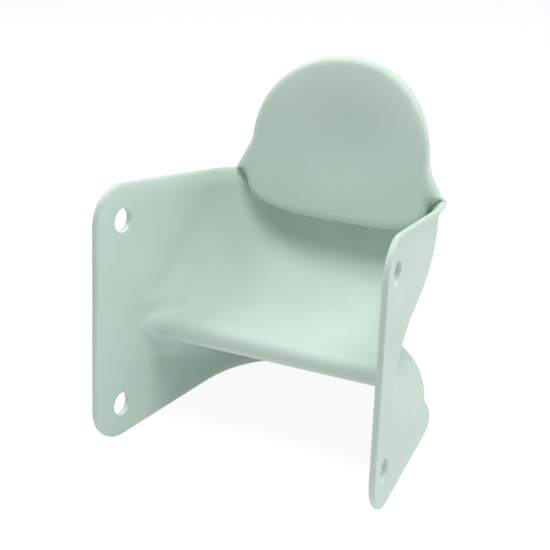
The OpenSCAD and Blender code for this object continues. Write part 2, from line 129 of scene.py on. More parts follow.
def look_up(x, keys, values):
    """Straight-line reading of one table per row: keys rise along the last axis, x has any width."""
    at = np.clip((keys[:, None, :] <= x[:, :, None]).sum(-1) - 1, 0, keys.shape[1] - 2)
    k0, k1 = np.take_along_axis(keys, at, 1), np.take_along_axis(keys, at + 1, 1)
    v0, v1 = np.take_along_axis(values, at, 1), np.take_along_axis(values, at + 1, 1)
    part = np.clip((x - k0) / np.maximum(k1 - k0, 1e-9), 0, 1)
    return v0 + (v1 - v0) * part


def join_meshes(*parts):
    """Several (points, faces) put into one list of points and faces."""
    points, faces, start = [], [], 0
    for part_points, part_faces in parts:
        points.append(part_points)
        faces.extend([[i + start for i in face] for face in part_faces])
        start += len(part_points)
    return np.concatenate(points), faces


def make_piece(name, points, faces, material, body, node, sharp=None):
    """A mesh object from points in millimetres, faces turned outward, shaded smooth."""
    mesh = bpy.data.meshes.new(name)
    mesh.from_pydata((np.asarray(points) * 0.001).tolist(), [], [list(f) for f in faces])
    work = bmesh.new()
    work.from_mesh(mesh)
    bmesh.ops.recalc_face_normals(work, faces=work.faces)
    work.to_mesh(mesh)
    work.free()
    mesh.polygons.foreach_set("use_smooth", np.ones(len(mesh.polygons), dtype=bool))
    if sharp:
        mesh.set_sharp_from_angle(angle=math.radians(sharp))
    mesh.update()
    piece = bpy.data.objects.new(name, mesh)
    bpy.context.scene.collection.objects.link(piece)
    piece.data.materials.append(material)
    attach(piece, body)
    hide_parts(node)


# Seat shell

def place_shell(x, s, t):
    """Middle-plane place to the frame: turned down at the back by the lean, then raised off the floor."""
    c, n = math.cos(LEAN), math.sin(LEAN)
    return np.stack([x, s * c + t * n - MIDDLE_Y, -s * n + t * c + MID_H], axis=-1)


def side_x(s):
    """Half width of the rim: it closes toward the back by the tangent of the toe angle."""
    return HALF_W - SPLAY * s


def bend_point(start, depth, power, psi):
    """Superellipse round the back: (x / a)^power + ((s - start) / b)^power = 1 at polar angle psi."""
    a, b = side_x(start), depth - start
    r = ((np.cos(psi) / a) ** power + (np.sin(psi) / b) ** power) ** (-1 / power)
    s = start + r * np.sin(psi)
    return np.stack([r * np.cos(psi) * side_x(s) / a, s], axis=-1)


quarter = np.linspace(0, math.pi / 2, 7)
edge_steps = EDGE_R * (1 - np.cos(quarter))
rim_s = np.concatenate([edge_steps, np.linspace(EDGE_R, CORNER_R, 16)[1:],
                        np.linspace(CORNER_R, BEND_START, 36)[1:]])
rim = np.concatenate([np.stack([side_x(rim_s), rim_s], -1),
                      bend_point(BEND_START, SHELL_D, BEND_POWER, np.linspace(0, math.pi / 2, 62)[1:])])
rim_step = np.gradient(rim, axis=0)
rim_normal = np.stack([rim_step[:, 1], -rim_step[:, 0]], -1)
rim_normal /= np.linalg.norm(rim_normal, axis=1, keepdims=True)
rim_normal[-1] = (0, 1)
panel_normal = np.array([math.cos(TOE), math.sin(TOE)])


def lip_at(s):
    """How far the rim rolls outward, growing smoothly from the front to the back."""
    return LIP_FRONT + (LIP_REAR - LIP_FRONT) * smooth(s / SHELL_D)


lip = lip_at(rim[:, 1])
outer_foot = rim - lip[:, None] * rim_normal
inner_foot = outer_foot - WALL_T * rim_normal


def waist_line():
    """Middle line of the outer face: a superellipse that draws in behind the seat, the lesser of it
    and the rim's foot, with a parabola where the two meet."""
    turn = np.arctan2(rim[:, 1] - FAN_S, rim[:, 0])
    first = math.atan2(WAIST_START - FAN_S, side_x(WAIST_START))
    p = bend_point(WAIST_START, WAIST_D, WAIST_POWER, math.pi / 2 * share(turn, first, math.pi / 2))
    gap = np.clip(WAIST_MEET - np.abs(p[:, 0] - outer_foot[:, 0]), 0, None) / WAIST_MEET
    x = np.minimum(p[:, 0], outer_foot[:, 0]) - gap ** 2 * WAIST_MEET / 4
    ease_x = smooth(share(rim[:, 1], WAIST_START, WAIST_START + WAIST_EASE))
    ease_s = smooth(share(rim[:, 1], WAIST_START, 2 * WAIST_START))
    x = outer_foot[:, 0] + (x - outer_foot[:, 0]) * ease_x
    return np.stack([x, outer_foot[:, 1] + (p[:, 1] - outer_foot[:, 1]) * ease_s], -1)


waist = waist_line()

# The nose's line in plan: on the panel, then a quarter round, then straight to the middle
rim_length = run_lengths(rim)
nose_s = SEAT_FRONT - NOSE_CORNER
nose_x = np.interp(nose_s, inner_foot[:, 1], inner_foot[:, 0])
nose_length = np.interp(nose_s, inner_foot[:, 1], rim_length)
nose_arc = NOSE_CORNER * math.pi / 2
nose_run = share(rim_length, nose_length, rim_length[-1]) * (nose_arc + nose_x - NOSE_CORNER)
nose_turn = np.minimum(nose_run / nose_arc, 1) * math.pi / 2
nose_line = np.stack([nose_x - NOSE_CORNER * (1 - np.cos(nose_turn)) - np.maximum(nose_run - nose_arc, 0),
                      nose_s + NOSE_CORNER * np.sin(nose_turn)], -1)
nose_line = np.where((rim_length <= nose_length)[:, None], inner_foot, nose_line)


def seat_paths(count=61):
    """One curve per station from the wall to the nose, a cubic that leaves and meets both squarely."""
    pull = PATH_PULL * np.linalg.norm(nose_line - inner_foot, axis=1, keepdims=True)
    away = np.stack([np.cos(nose_turn), np.sin(nose_turn)], -1)
    a, d = inner_foot[:, None], nose_line[:, None]
    b, c = (inner_foot - pull * rim_normal)[:, None], (nose_line + pull * away)[:, None]
    u = np.linspace(0, 1, count)[None, :, None]
    return (1 - u) ** 3 * a + 3 * (1 - u) ** 2 * u * b + 3 * (1 - u) * u ** 2 * c + u ** 3 * d


paths = seat_paths()
path_at = run_lengths(paths)
path_length = path_at[:, -1]

# Rows below each rim: the rounded edge, the rolled lip, the wall down to below the panel holes
LAST_E = 76.0
rim_rows = np.concatenate([edge_steps, np.linspace(EDGE_R, LIP_H, 7)[1:], np.linspace(LIP_H, LAST_E, 17)[1:]])
REST_ROWS = 44
NOSE_ROWS = 12


def half_height(s, side):
    """Height of the rim over the seat's middle: the rims' planes lean together toward the back."""
    return HALF_H - s * math.tan(LEAN) - side * SEAT_MID


def seat_profile(side):
    """Inner face below the rim rows, per station: distances along the path and heights over the
    seat's middle. Wall, quarter ellipse, flat seat, then the nose's quarter ellipse. Where the nose
    starts on the panel, a swelling of (1 + cos) / 2 in height takes their place."""
    height = half_height(rim[:, 1], side)[:, None]
    grow = smooth(share(rim[:, 1], SEAT_FRONT, SHELL_D - LIP_HOLD))[:, None]
    rise = FILLET_FRONT + (height - SEAT_HALF - LIP_H - FILLET_FRONT) * grow
    run = FILLET_FRONT + (FILLET_REAR - FILLET_FRONT) * grow
    fit = np.minimum(1, path_length[:, None] / (run + NOSE_RUN))
    nose = NOSE_RUN * fit
    q = np.linspace(0, math.pi / 2, 49)[None]
    along = np.concatenate([0 * height, run * fit * (1 - np.cos(q)), path_length[:, None] - nose], 1)
    level = np.concatenate([height - LIP_H, SEAT_HALF + rise * (1 - np.sin(q)), 0 * height + SEAT_HALF], 1)
    length = run_lengths(np.stack([along, level], -1))
    part = np.clip((SEAT_HALF + rise - (height - rim_rows[None])) / rise, 0, 1)
    first_along = run * fit * (1 - np.sqrt(1 - part ** 2))
    start = look_up(LAST_E - height, -level, length)
    at = start + (length[:, -1:] - start) * np.linspace(0, 1, REST_ROWS + 1)[None, 1:]
    q = np.linspace(0, math.pi / 2, NOSE_ROWS + 1)[None, 1:]
    along = np.concatenate([first_along, look_up(at, length, along),
                            path_length[:, None] - nose + nose * np.sin(q)], 1)
    level = np.concatenate([height - rim_rows[None], look_up(at, length, level),
                            SEAT_HALF * np.cos(q) + 0 * height], 1)
    swell = (1 + np.cos(math.pi * np.clip(level / (SEAT_HALF + rise), 0, 1))) / 2
    return along + (1 - fit ** 2) * (path_length[:, None] * swell - along), level


def corner_place(s, e):
    """Square net pulled into the panel's round corner: where both s and e are less than the corner's
    radius, their unit distances from its centre are mapped from a square to a disc."""
    a, b = 1 - s / CORNER_R, 1 - e / CORNER_R
    p = a * np.sqrt(np.maximum(1 - b * b / 2, 0))
    q = b * np.sqrt(np.maximum(1 - a * a / 2, 0))
    inside = (a > 0) & (b > 0)
    return (np.where(inside, CORNER_R * (1 - p), s), np.where(inside, CORNER_R * (1 - q), e),
            np.where(inside, CORNER_R * (1 - np.hypot(p, q)), np.minimum(s, e)))


def wall_points(side, face, foot, e):
    """Net points of one half of one face, stations by rows. The rim rolls out by lip (1 - d / lip
    height)^2 and its free edge is a quarter round, with d the distance to the edge."""
    s = rim[:, 1:2] + 0 * e
    s_to, e_to, d = corner_place(s, e)
    roll = lip[:, None] * np.maximum(1 - d / LIP_H, 0) ** 2
    short = EDGE_R - np.minimum(d, EDGE_R)
    sink = EDGE_R - np.sqrt(np.maximum(EDGE_R ** 2 - short ** 2, 0))
    shift = s_to - s
    n = rim_normal[:, None]
    x = foot[..., 0] + (roll - face * sink) * n[..., 0] - SPLAY * shift
    back = foot[..., 1] + (roll - face * sink) * n[..., 1] + shift
    level = (s - back) * math.tan(LEAN) * np.maximum(1 - e / CORNER_R, 0)
    return np.stack([x, back, side * (half_height(s, side) + level - e_to) + SEAT_MID], -1)


def inner_half(side):
    """Inner face: the place along each station's path gives the plan, the profile gives the height."""
    along, level = seat_profile(side)
    keys = np.linspace(0, 1, paths.shape[1])[None] + 0 * path_at
    u = look_up(along, path_at, keys)
    foot = np.stack([look_up(u, keys, paths[..., i]) for i in (0, 1)], -1)
    e = half_height(rim[:, 1], side)[:, None] - level
    return wall_points(side, -1, foot, e), e


def bowl_share(tau):
    """How far the outer face has come out from the waist to the rim's foot: a superellipse in tau."""
    return (1 - (1 - tau) ** BOWL_POWER) ** (1 / BOWL_ROOT)


def outer_half(side, inner_e):
    """Outer face: it swells from the waist to the rim, its rows gathered toward the waist."""
    height = half_height(rim[:, 1], side)[:, None]
    rest = REST_ROWS + NOSE_ROWS
    gather = (1 - np.arange(1, rest + 1) / rest)[None] ** GATHER_POWER
    gathered = height - gather * (height - LAST_E)
    level_with = inner_e[:, -rest:]
    grow = smooth(share(rim[:, 1], 0, GATHER_FROM))[:, None]
    e = np.concatenate([rim_rows[None] + 0 * height, level_with + (gathered - level_with) * grow], 1)
    tau = np.clip((height - e) / (height - LIP_H), 0, 1)
    foot = waist[:, None] + bowl_share(tau)[..., None] * (outer_foot - waist)[:, None]
    return wall_points(side, 1, foot, e)


def panel_point(side, face, s, e):
    """One face of a side panel at any distance s from the front and e from the rim."""
    base = np.stack([side_x(s), s], -1) - (lip_at(s) + (WALL_T if face < 0 else 0))[..., None] * panel_normal
    height = half_height(s, side)
    if face > 0:
        drawn = np.stack([np.interp(s, rim[:, 1], (waist - outer_foot)[:, i]) for i in (0, 1)], -1)
        tau = np.clip((height - e) / (height - LIP_H), 0, 1)
        base = base + (1 - bowl_share(tau))[..., None] * drawn
    near = (s < CORNER_R) & (e < CORNER_R)
    d = np.where(near, CORNER_R - np.hypot(CORNER_R - s, CORNER_R - e), np.minimum(s, e))
    plan = base + (lip_at(s) * np.maximum(1 - d / LIP_H, 0) ** 2)[..., None] * panel_normal
    level = (s - plan[..., 1]) * math.tan(LEAN) * np.maximum(1 - e / CORNER_R, 0)
    return np.stack([plan[..., 0], plan[..., 1], side * (height + level - e) + SEAT_MID], -1)


def hole_rings(side, face, s, e, exact):
    """Rings from a block of the panel's net to a round hole: straight steps to the circle, a small
    quarter round into the bore. s and e are the block's border, exact its points in the net."""
    s, e, _ = corner_place(s, e)
    miss = exact - panel_point(side, face, s, e)
    across = (s - HOLE_INSET) / math.cos(TOE)
    down = e - HOLE_INSET + (s - HOLE_INSET) * math.tan(LEAN)
    angle = np.arctan2(down, across)
    radius = np.hypot(down, across)
    rings = []
    for w in (0.3, 0.55, 0.78, 1.0):
        r = radius + (HOLE_R + HOLE_EDGE - radius) * w
        rings.append((r, 0.0, 1 - w))
    for turn in np.radians([22.5, 45, 67.5, 90]):
        r = HOLE_R + HOLE_EDGE * (1 - math.sin(turn)) + 0 * radius
        rings.append((r, HOLE_EDGE * (1 - math.cos(turn)), 0.0))
    made = []
    for r, deep, keep in rings:
        to_s = HOLE_INSET + r * np.cos(angle) * math.cos(TOE)
        to_e = HOLE_INSET - (to_s - HOLE_INSET) * math.tan(LEAN) + r * np.sin(angle)
        p = panel_point(side, face, to_s, to_e) + keep * miss
        p[:, :2] -= face * deep * panel_normal
        made.append(p)
    return made


def shell_mesh():
    """The whole shell as one closed mesh: outer net, inner net, the strip round their free edge and
    a patch with a bore at each hole."""
    outer, inner = {}, {}
    for side in (1, -1):
        inner[side], e = inner_half(side)
        outer[side] = outer_half(side, e)
    nets = [np.concatenate([half[1], half[-1][:, -2::-1]], 1) for half in (outer, inner)]
    nets = [np.concatenate([net, net[-2::-1] * np.array([-1, 1, 1])], 0) for net in nets]
    columns, rows = nets[0].shape[:2]
    number = np.arange(2 * columns * rows).reshape(2, columns, rows)
    points = [np.concatenate([net.reshape(-1, 3) for net in nets])]
    keep = np.ones((columns - 1, rows - 1), dtype=bool)
    c0, c1 = (int(np.abs(rim_s - v).argmin()) for v in HOLE_BLOCK_S)
    r0, r1 = (int(np.abs(rim_rows - v).argmin()) for v in HOLE_BLOCK_E)
    faces, start = [], 2 * columns * rows
    loop = ([(c, r0) for c in range(c0, c1)] + [(c1, r) for r in range(r0, r1)]
            + [(c, r1) for c in range(c1, c0, -1)] + [(c0, r) for r in range(r1, r0, -1)])
    loop = np.array(loop)
    for hand in (1, -1):
        for side in (1, -1):
            c = loop[:, 0] if hand > 0 else columns - 1 - loop[:, 0]
            r = loop[:, 1] if side > 0 else rows - 1 - loop[:, 1]
            keep[min(c):max(c), min(r):max(r)] = False
            last_rings = []
            for which, face in ((0, 1), (1, -1)):
                exact = nets[which][c, r] * np.array([hand, 1, 1])
                rings = hole_rings(side, face, rim_s[loop[:, 0]], rim_rows[loop[:, 1]], exact)
                before = number[which, c, r]
                for ring in rings:
                    points.append(ring * np.array([hand, 1, 1]))
                    after = start + np.arange(len(ring))
                    start += len(ring)
                    faces.append(np.stack([before, after, np.roll(after, -1), np.roll(before, -1)], 1))
                    before = after
                last_rings.append(before)
            a, b = last_rings
            faces.append(np.stack([a, b, np.roll(b, -1), np.roll(a, -1)], 1))
    for which in (0, 1):
        n = number[which]
        quads = np.stack([n[:-1, :-1], n[:-1, 1:], n[1:, 1:], n[1:, :-1]], -1)[keep]
        faces.append(quads if which == 0 else quads[:, ::-1])
    edge = ([(c, 0) for c in range(columns)] + [(columns - 1, r) for r in range(1, rows)]
            + [(c, rows - 1) for c in range(columns - 2, -1, -1)] + [(0, r) for r in range(rows - 2, 0, -1)])
    edge = np.array(edge)
    a, b = number[0][edge[:, 0], edge[:, 1]], number[1][edge[:, 0], edge[:, 1]]
    faces.append(np.stack([a, np.roll(a, -1), np.roll(b, -1), b], 1))
    points = np.concatenate(points)
    return place_shell(points[:, 0], points[:, 1], points[:, 2]), np.concatenate(faces).tolist()


# Backrest

def place_backrest(points):
    """Upper rim's place to the frame: turned down at the back by twice the lean, at the rim's height."""
    c, n = math.cos(2 * LEAN), math.sin(2 * LEAN)
    x, w, v = points[..., 0], points[..., 1], points[..., 2]
    return np.stack([x, w * c + v * n + MID_H * n - MIDDLE_Y, -w * n + v * c + MID_H * (1 + c)], -1)


def bent_w(x, v):
    """The backrest's middle surface: bent round the sitter by x^2 / (2 radius), leaned forward, and
    curled back toward the wings' tips."""
    curl = WING_CURL * smooth(share(np.abs(x), HANG_X, TIP_X)) * smooth(share(v, -WING_FILLET, 0.0))
    return BACK_W - x * x / (2 * BACK_BEND) - v * math.tan(BACK_LEAN) + curl


def dish(x, v):
    """The front face's hollow, none outside an oval about its middle."""
    r = np.hypot(x / (BACK_R - DISH_RIM), (v - DISH_V) / (BACK_R / 2 + BACK_DOWN / 2))
    return BACK_DISH * smooth(1 - r)


def dome_x(v):
    """Half width of the round top: a superellipse about the dome's centre."""
    return BACK_R * (1 - (np.abs(v - BACK_RISE) / BACK_R) ** BACK_TOP_POWER) ** (1 / BACK_TOP_POWER)


def evenly(line, count):
    """A closed line of points taken again at even steps along its length."""
    line = np.concatenate([line, line[:1]])
    length = run_lengths(line)
    at = np.linspace(0, length[-1], count, endpoint=False)
    return np.stack([np.interp(at, length, line[:, i]) for i in range(line.shape[1])], -1)


def back_outline(count=440):
    """Round the backrest in x and v: dome, wing flaring out as a power of the way down, a fillet
    under it, then a superellipse below. Corners are softened by a running mean."""
    top = np.arcsin(((WING_H - BACK_RISE) / BACK_R) ** (BACK_TOP_POWER / 2))
    a = np.linspace(math.pi / 2, top, 160)
    dome = np.stack([BACK_R * np.cos(a) ** (2 / BACK_TOP_POWER),
                     BACK_RISE + BACK_R * np.sin(a) ** (2 / BACK_TOP_POWER)], -1)
    v = np.linspace(WING_H, SEAT_GAP, 60)[1:]
    wing = np.stack([dome_x(v) + (TIP_X - dome_x(0.0)) * (1 - v / WING_H) ** WING_POWER, v], -1)
    a = np.linspace(0, math.pi / 2, 16)
    under = np.stack([HANG_X + WING_FILLET * (1 - np.sin(a)), SEAT_GAP - WING_FILLET * (1 - np.cos(a))], -1)
    q = np.linspace(0, math.pi / 2, 260)[1:]
    hang = np.stack([HANG_X * np.cos(q) ** (2 / BACK_POWER), -BACK_DOWN * np.sin(q) ** (2 / BACK_POWER)], -1)
    hang = hang[hang[:, 1] < -WING_FILLET - 1]
    half = np.concatenate([dome, wing, under, hang])
    half[0, 0] = half[-1, 0] = 0
    whole = np.concatenate([half, half[-2:0:-1] * np.array([-1, 1])])
    fine = evenly(whole, 4 * count)
    for _ in range(14):
        fine = sum(np.roll(fine, shift, 0) for shift in (2, 1, 0, -1, -2)) / 5
    fine = evenly(fine, count)
    return np.concatenate([fine[:1] * [0, 1], fine[1:]])


def edge_distance(points, outline):
    """Distance of each point to the closed outline, point by segment."""
    a, b = outline, np.roll(outline, -1, 0)
    d = b - a
    rel = points[:, None] - a[None]
    t = np.clip((rel * d).sum(-1) / (d * d).sum(-1), 0, 1)
    return np.linalg.norm(rel - t[..., None] * d, axis=-1).min(1)


outline = back_outline()
ray = outline - BACK_CENTRE
ray_length = np.linalg.norm(ray, axis=1)
ray = ray / ray_length[:, None]


def offset_reach(depth):
    """Per ray from the centre, the reach at which the outline is still depth away, softened round."""
    parts = np.linspace(0.35, 1, 131)
    d = np.stack([edge_distance(BACK_CENTRE + ray * (ray_length * p)[:, None], outline) for p in parts])
    first = (d < depth).argmax(0)
    d0, d1 = np.take_along_axis(d, first[None] - 1, 0)[0], np.take_along_axis(d, first[None], 0)[0]
    reach = ray_length * (parts[first - 1] + (parts[1] - parts[0]) * (d0 - depth) / (d0 - d1))
    for _ in range(10):
        reach = (np.roll(reach, 1) + 2 * reach + np.roll(reach, -1)) / 4
    return reach


recess = offset_reach(COVER_INSET)
upward = BACK_R + BACK_RISE - BACK_CENTRE[1]
downward = BACK_DOWN + BACK_CENTRE[1]
oval = OVAL_SHARE / np.hypot(ray[:, 0] / BACK_R, ray[:, 1] / np.where(ray[:, 1] > 0, upward, downward))


def toward_centre(reach, parts):
    """Places on rings from a reach to the centre, eased into plain ovals on the way."""
    eased = [reach + (np.minimum(oval, reach) - reach) * smooth(2 * p) for p in parts]
    return np.stack([BACK_CENTRE + ray * (r * (1 - p))[:, None] for r, p in zip(eased, parts)])


def rounded_depth(places, turns):
    """Depth of a face over the middle surface: a quarter ellipse in the distance to the outline,
    softened over the net so that no ridge runs along a wing."""
    d = np.stack([edge_distance(row, outline) for row in places])
    depth = HALF_T * np.sqrt(1 - (1 - np.minimum(d / EDGE_RUN, 1)) ** 2)
    for _ in range(turns):
        mid = depth[1:-1]
        near = depth[:-2] + depth[2:] + np.roll(mid, 1, 1) + np.roll(mid, -1, 1)
        depth[1:-1] = mid / 2 + near / 8
    return depth


def surface(places, depth):
    """Points at a depth behind (plus) or before (minus) the bent middle surface."""
    x, v = places[..., 0], places[..., 1]
    return np.stack([x, bent_w(x, v) + depth, v], -1)


def ring_solid(rings, closed_ends=True):
    """A skin through rings of equal count, its first and last ring closed to their middles."""
    rings = np.asarray(rings)
    count, size = rings.shape[:2]
    number = np.arange(count * size).reshape(count, size)
    ahead = np.roll(number, -1, 1)
    quads = np.stack([number[:-1], number[1:], ahead[1:], ahead[:-1]], -1).reshape(-1, 4).tolist()
    points = rings.reshape(-1, 3)
    if closed_ends:
        points = np.concatenate([points, rings[:1].mean(1), rings[-1:].mean(1)])
        first, last = count * size, count * size + 1
        quads += np.stack([0 * number[0] + first, number[0], ahead[0]], -1).tolist()
        quads += np.stack([0 * number[0] + last, ahead[-1], number[-1]], -1).tolist()
    return points, quads


def backrest_front_mesh():
    """Front moulding: dished front face, bullnose edge, rear band, ledge for the cover and the
    hollow behind the face."""
    insets = [0, 0.2, 0.6, 1.2, 2, 3, 4.2, 5.6, 7.2, 9, 11, 13.5, 16.5]
    band = np.stack([BACK_CENTRE + ray * (ray_length - i)[:, None] for i in insets])
    inside = toward_centre(ray_length - insets[-1], np.linspace(0, 0.985, 34)[1:])
    front = np.concatenate([band, inside])
    rear_share = np.array([0, 0.02, 0.05, 0.1, 0.17, 0.26, 0.37, 0.5, 0.64, 0.78, 0.9, 0.97])
    rear = np.stack([BACK_CENTRE + ray * (ray_length + (recess + REAR_ROUND - ray_length) * g)[:, None]
                     for g in rear_share])
    front_depth, rear_depth = rounded_depth(front, 14), rounded_depth(rear, 6)
    front_skin = surface(front, dish(front[..., 0], front[..., 1]) - front_depth)[::-1]
    rear_skin = surface(rear, rear_depth)[1:]
    step = [(0.4, HALF_T - 0.1), (0.12, HALF_T - 0.35), (0, HALF_T - 0.8), (0, HALF_T - COVER_T),
            (0, LEDGE_DEPTH), (-0.5, LEDGE_DEPTH), (-LEDGE_W, LEDGE_DEPTH)]
    steps = np.stack([surface(BACK_CENTRE + ray * (recess + out)[:, None], depth) for out, depth in step])
    hollow = toward_centre(recess - LEDGE_W - 1, np.linspace(0, 0.97, 16))
    floor = surface(hollow, dish(hollow[..., 0], hollow[..., 1]) + BACK_WALL - HALF_T)
    return ring_solid(np.concatenate([front_skin, rear_skin, steps, floor]))


def turned(profile, place, count=32):
    """A body of revolution about a line along w through a place: profile is (radius, w) pairs."""
    a = np.linspace(0, 2 * math.pi, count, endpoint=False)
    return np.stack([np.stack([place[0] + r * np.cos(a), 0 * a + w, place[1] + r * np.sin(a)], -1)
                     for r, w in profile])


def head_seat(place):
    """Where a screw's head bears: a little below the cover's face."""
    return bent_w(*place) + HALF_T - HEAD_SINK


def boss_mesh(place):
    """A round boss on the hollow's floor with a pilot hole for the screw."""
    top = bent_w(*place) + LEDGE_DEPTH - BOSS_R * abs(place[0]) / BACK_BEND
    foot = bent_w(*place) - HALF_T + dish(*place) + BACK_WALL / 2
    deep = head_seat(place) - SCREW_L - 1
    profile = [(BOSS_R + 0.6, foot), (BOSS_R, foot + 4), (BOSS_R, top - 0.4), (BOSS_R - 0.4, top),
               (PILOT_R + 0.3, top), (PILOT_R, top - 0.3), (PILOT_R, deep)]
    return ring_solid(turned(profile, place))


def rounded_section(corners, radius, steps=5):
    """A closed line with each corner replaced by a parabola that touches both sides."""
    corners = np.array(corners, float)
    made = []
    for before, at, after in zip(np.roll(corners, 1, 0), corners, np.roll(corners, -1, 0)):
        a, b = before - at, after - at
        la, lb = np.linalg.norm(a), np.linalg.norm(b)
        a, b = a / la, b / lb
        half = math.acos(np.clip(a @ b, -1, 1)) / 2
        reach = min(radius / math.tan(half), 0.45 * la, 0.45 * lb)
        u = np.linspace(0, 1, steps + 1)[:, None]
        made.append((1 - u) ** 2 * (at + a * reach) + 2 * u * (1 - u) * at + u ** 2 * (at + b * reach))
    return np.concatenate(made)


def saddle_mesh():
    """The saddle: one section carried across the rim, drawn in by a quarter round at its ends. It
    has a flange on the cover, a plate over the rim and a leg down each side of the wall."""
    outer_w, leg_w = RIM_BACK_W + SADDLE_GAP, INNER_LEG_W - SADDLE_T
    face_w, under, roof = outer_w + SADDLE_T, SEAT_GAP, SEAT_GAP + SADDLE_T
    section = rounded_section([
        (SADDLE_ROOT_W, -SADDLE_T), (leg_w, under - SADDLE_T), (leg_w, -INNER_LEG),
        (INNER_LEG_W, -INNER_LEG), (INNER_LEG_W, under), (outer_w, under), (outer_w, -OUTER_LEG),
        (face_w, -OUTER_LEG), (face_w, roof), (SADDLE_ROOT_W + 2 * SADDLE_T, roof),
        (SADDLE_ROOT_W + SADDLE_T, FLANGE_H), (SADDLE_ROOT_W, FLANGE_H)], SADDLE_ROUND)
    step = np.roll(section, -1, 0) - np.roll(section, 1, 0)
    inward = np.stack([step[:, 1], -step[:, 0]], -1)
    inward /= np.linalg.norm(inward, axis=1, keepdims=True) + 1e-9
    area = (section[:, 0] * np.roll(section[:, 1], -1) - section[:, 1] * np.roll(section[:, 0], -1)).sum()
    inward *= -1 if area > 0 else 1
    turn = np.linspace(0, math.pi / 2, 6)
    ends = [(SADDLE_HALF_W - SADDLE_END * (1 - math.sin(t)), SADDLE_END * (1 - math.cos(t)))
            for t in turn[::-1]]
    middle = [(x, 0.0) for x in np.linspace(-SADDLE_EVEN, SADDLE_EVEN, 17)]
    rings = []
    for x, inset in [(-x, i) for x, i in ends] + middle + ends[::-1]:
        line = section + inward * inset
        rings.append(np.stack([0 * line[:, 0] + x, line[:, 0], line[:, 1]], -1))
    points, faces = ring_solid(rings, closed_ends=False)
    size = len(section)
    faces += [list(range(size))[::-1], list(range(len(points) - size, len(points)))]
    return points, faces


def cover_mesh():
    """Rear cover: a bent plate a little smaller than its recess, its rear edge slightly rounded."""
    reach = recess - SEAT_GAP
    steps = [(0.3, HALF_T - COVER_T), (0, HALF_T - COVER_T + 0.3), (0, HALF_T - 0.9), (0.12, HALF_T - 0.45),
             (0.45, HALF_T - 0.12), (0.9, HALF_T)]
    edge = np.stack([surface(BACK_CENTRE + ray * (reach - i)[:, None], depth) for i, depth in steps])
    rings = toward_centre(reach - 0.9, np.linspace(0, 0.975, 26)[1:])
    return ring_solid(np.concatenate([surface(rings, HALF_T - COVER_T)[::-1], edge, surface(rings, HALF_T)]))


def screw_mesh(place, count=80):
    """Pan head whose crown falls off as radius^2, with a cross recess eased at its edges, and a
    shank whose radius rises and falls with the phase of a helix and runs out to a point."""
    seat = head_seat(place)
    a = np.linspace(0, 2 * math.pi, count, endpoint=False)
    radii = np.concatenate([np.linspace(0.02, CROWN_R, 24), [3.5, 3.75, 3.92, HEAD_R]])
    crown = HEAD_H * (1 - CROWN_DROP * (radii / HEAD_R) ** 2) - np.clip(radii - CROWN_R, 0, 1) ** 2 * 1.3
    r, turn = np.meshgrid(radii, a, indexing="ij")
    x, v = r * np.cos(turn), r * np.sin(turn)
    arm = np.minimum(np.abs(x), np.abs(v))
    along = np.maximum(np.abs(x), np.abs(v))
    cross = smooth((CROSS_HALF_T - arm) / 0.25) * smooth((CROSS_REACH - along) / 0.35)
    top = crown[:, None] - CROSS_DEPTH * cross * (1 - 0.35 * along / CROSS_REACH)
    head = np.stack([place[0] + x, seat + top, place[1] + v], -1)
    side = np.stack([np.stack([place[0] + q * np.cos(a), 0 * a + seat + h, place[1] + q * np.sin(a)], -1)
                     for q, h in ((HEAD_R, 0.5), (HEAD_R, 0.15), (HEAD_R - 0.15, 0), (SCREW_R, 0))])
    down = np.linspace(0.2, SCREW_L, 90)
    phase = (down[:, None] / THREAD_PITCH - a[None] / (2 * math.pi)) % 1
    thread_r = SCREW_R - THREAD_DEPTH * smooth(np.abs(2 * phase - 1) * 1.6 - 0.3)
    shank_r = np.maximum(thread_r * (1 - share(down[:, None], POINT_START, POINT_END)), POINT_R)
    shank = np.stack([place[0] + shank_r * np.cos(a), seat - down[:, None] + 0 * shank_r,
                      place[1] + shank_r * np.sin(a)], -1)
    return ring_solid(np.concatenate([head, side, shank]))


# Materials

def linear(colour):
    """An sRGB hex colour as linear numbers with alpha."""
    parts = [int(colour[i:i + 2], 16) / 255 for i in (1, 3, 5)]
    return tuple(p / 12.92 if p <= 0.04045 else ((p + 0.055) / 1.055) ** 2.4 for p in parts) + (1.0,)


def add_node(tree, kind, settings=None, links=None):
    """One node with its settings and its links; a setting is a property or a socket's value."""
    node = tree.nodes.new(kind)
    for key, value in (settings or {}).items():
        if isinstance(key, str) and hasattr(node, key):
            setattr(node, key, value)
        else:
            node.inputs[key].default_value = value
    for key, source in (links or {}).items():
        tree.links.new(source, node.inputs[key])
    return node


def new_material(name):
    """An empty node material and its tree."""
    material = bpy.data.materials.new(name)
    material.use_nodes = True
    material.node_tree.nodes.clear()
    return material, material.node_tree


